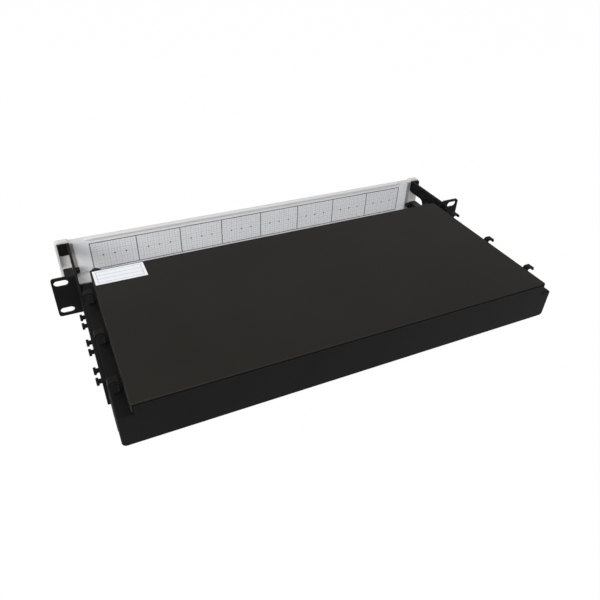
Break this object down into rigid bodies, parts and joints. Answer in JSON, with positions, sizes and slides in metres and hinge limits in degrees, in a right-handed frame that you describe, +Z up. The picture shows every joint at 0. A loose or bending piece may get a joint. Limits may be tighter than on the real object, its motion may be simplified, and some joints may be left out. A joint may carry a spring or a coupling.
{
  "type": "fibre patch panel",
  "caption": "One-unit rack fibre patch panel: black sheet tray and cover, light grey fold-down label door, rack ears with side cord exits, port modules inside.",
  "frame": {"origin": "middle of the four rack slots, on the faces of the ears that meet the rack posts", "axes": "+X to the right seen from the front, +Y from the door towards the rear of the rack, +Z up"},
  "size_m": [0.4826, 0.263, 0.0441],
  "materials": {
    "black_powder_coat": "fine-textured black powder coat on folded steel sheet",
    "black_cover_coat": "fine-textured black powder coat, satin",
    "black_plastic": "moulded black nylon",
    "hinge_plastic": "moulded charcoal nylon, worn slightly lighter on top",
    "door_plastic": "light grey moulding, fine matt grain",
    "sill_plastic": "light grey extruded strip, fine matt grain",
    "grey_plastic": "mid grey moulding",
    "card_paper": "coated white card printed with a ruled grid",
    "label_paper": "white gloss label, left blank of wording",
    "clear_film": "clear polycarbonate strip",
    "screw_steel": "blackened steel",
    "magnet_plate": "nickel plate",
    "black_rubber": "soft black rubber",
    "module_plastic": "moulded dark grey ABS, spark-eroded grain",
    "port_plastic": "moulded blue port block",
    "cap_plastic": "pale translucent dust caps",
    "trunk_plastic": "moulded black connector body"
  },
  "bodies": {
    "chassis": {"bend_guides": "grey_plastic", "bracket_left": "black_powder_coat", "bracket_right": "black_powder_coat", "bracket_screws": "screw_steel", "cable_anchors": "black_powder_coat", "cable_grommet_left": "black_rubber", "cable_grommet_right": "black_rubber", "door_catch_left": "magnet_plate", "door_catch_right": "magnet_plate", "dust_caps": "cap_plastic", "front_carrier": "black_powder_coat", "front_sill": "sill_plastic", "hinge_block_left": "hinge_plastic", "hinge_block_right": "hinge_plastic", "hinge_clip_left": "black_plastic", "hinge_clip_right": "black_plastic", "hinge_pins": "screw_steel", "module_1_housing": "module_plastic", "module_1_lid": "module_plastic", "module_1_ports": "port_plastic", "module_2_housing": "module_plastic", "module_2_lid": "module_plastic", "module_2_ports": "port_plastic", "module_3_housing": "module_plastic", "module_3_lid": "module_plastic", "module_3_ports": "port_plastic", "module_4_housing": "module_plastic", "module_4_lid": "module_plastic", "module_4_ports": "port_plastic", "module_5_housing": "module_plastic", "module_5_lid": "module_plastic", "module_5_ports": "port_plastic", "module_6_housing": "module_plastic", "module_6_lid": "module_plastic", "module_6_ports": "port_plastic", "module_7_housing": "module_plastic", "module_7_lid": "module_plastic", "module_7_ports": "port_plastic", "module_8_housing": "module_plastic", "module_8_lid": "module_plastic", "module_8_ports": "port_plastic", "strap_hooks_left": "black_powder_coat", "strap_hooks_right": "black_powder_coat", "tray": "black_powder_coat", "tray_side_left": "black_powder_coat", "tray_side_right": "black_powder_coat", "trunk_adapters": "trunk_plastic", "trunk_caps": "cap_plastic"},
    "cover": {"top_cover": "black_cover_coat", "cover_label": "label_paper"},
    "plunger": {"cover_plunger": "black_plastic"},
    "door": {"door_panel": "door_plastic", "door_end_left": "door_plastic", "door_end_right": "door_plastic", "label_card": "card_paper", "label_window": "clear_film", "label_stops": "grey_plastic"}
  },
  "joints": [
    {"name": "door_fold", "type": "hinge", "parent": "chassis", "child": "door", "pos_m": [0, -0.075, -0.0188], "axis": [1, 0, 0], "range_deg": [0, 90]},
    {"name": "cover_lift", "type": "slide", "parent": "chassis", "child": "cover", "axis": [0, 0, 1], "range_m": [0, 0.06]},
    {"name": "plunger_pull", "type": "slide", "parent": "cover", "child": "plunger", "axis": [0, 0, 1], "range_m": [0, 0.004]}
  ]
}
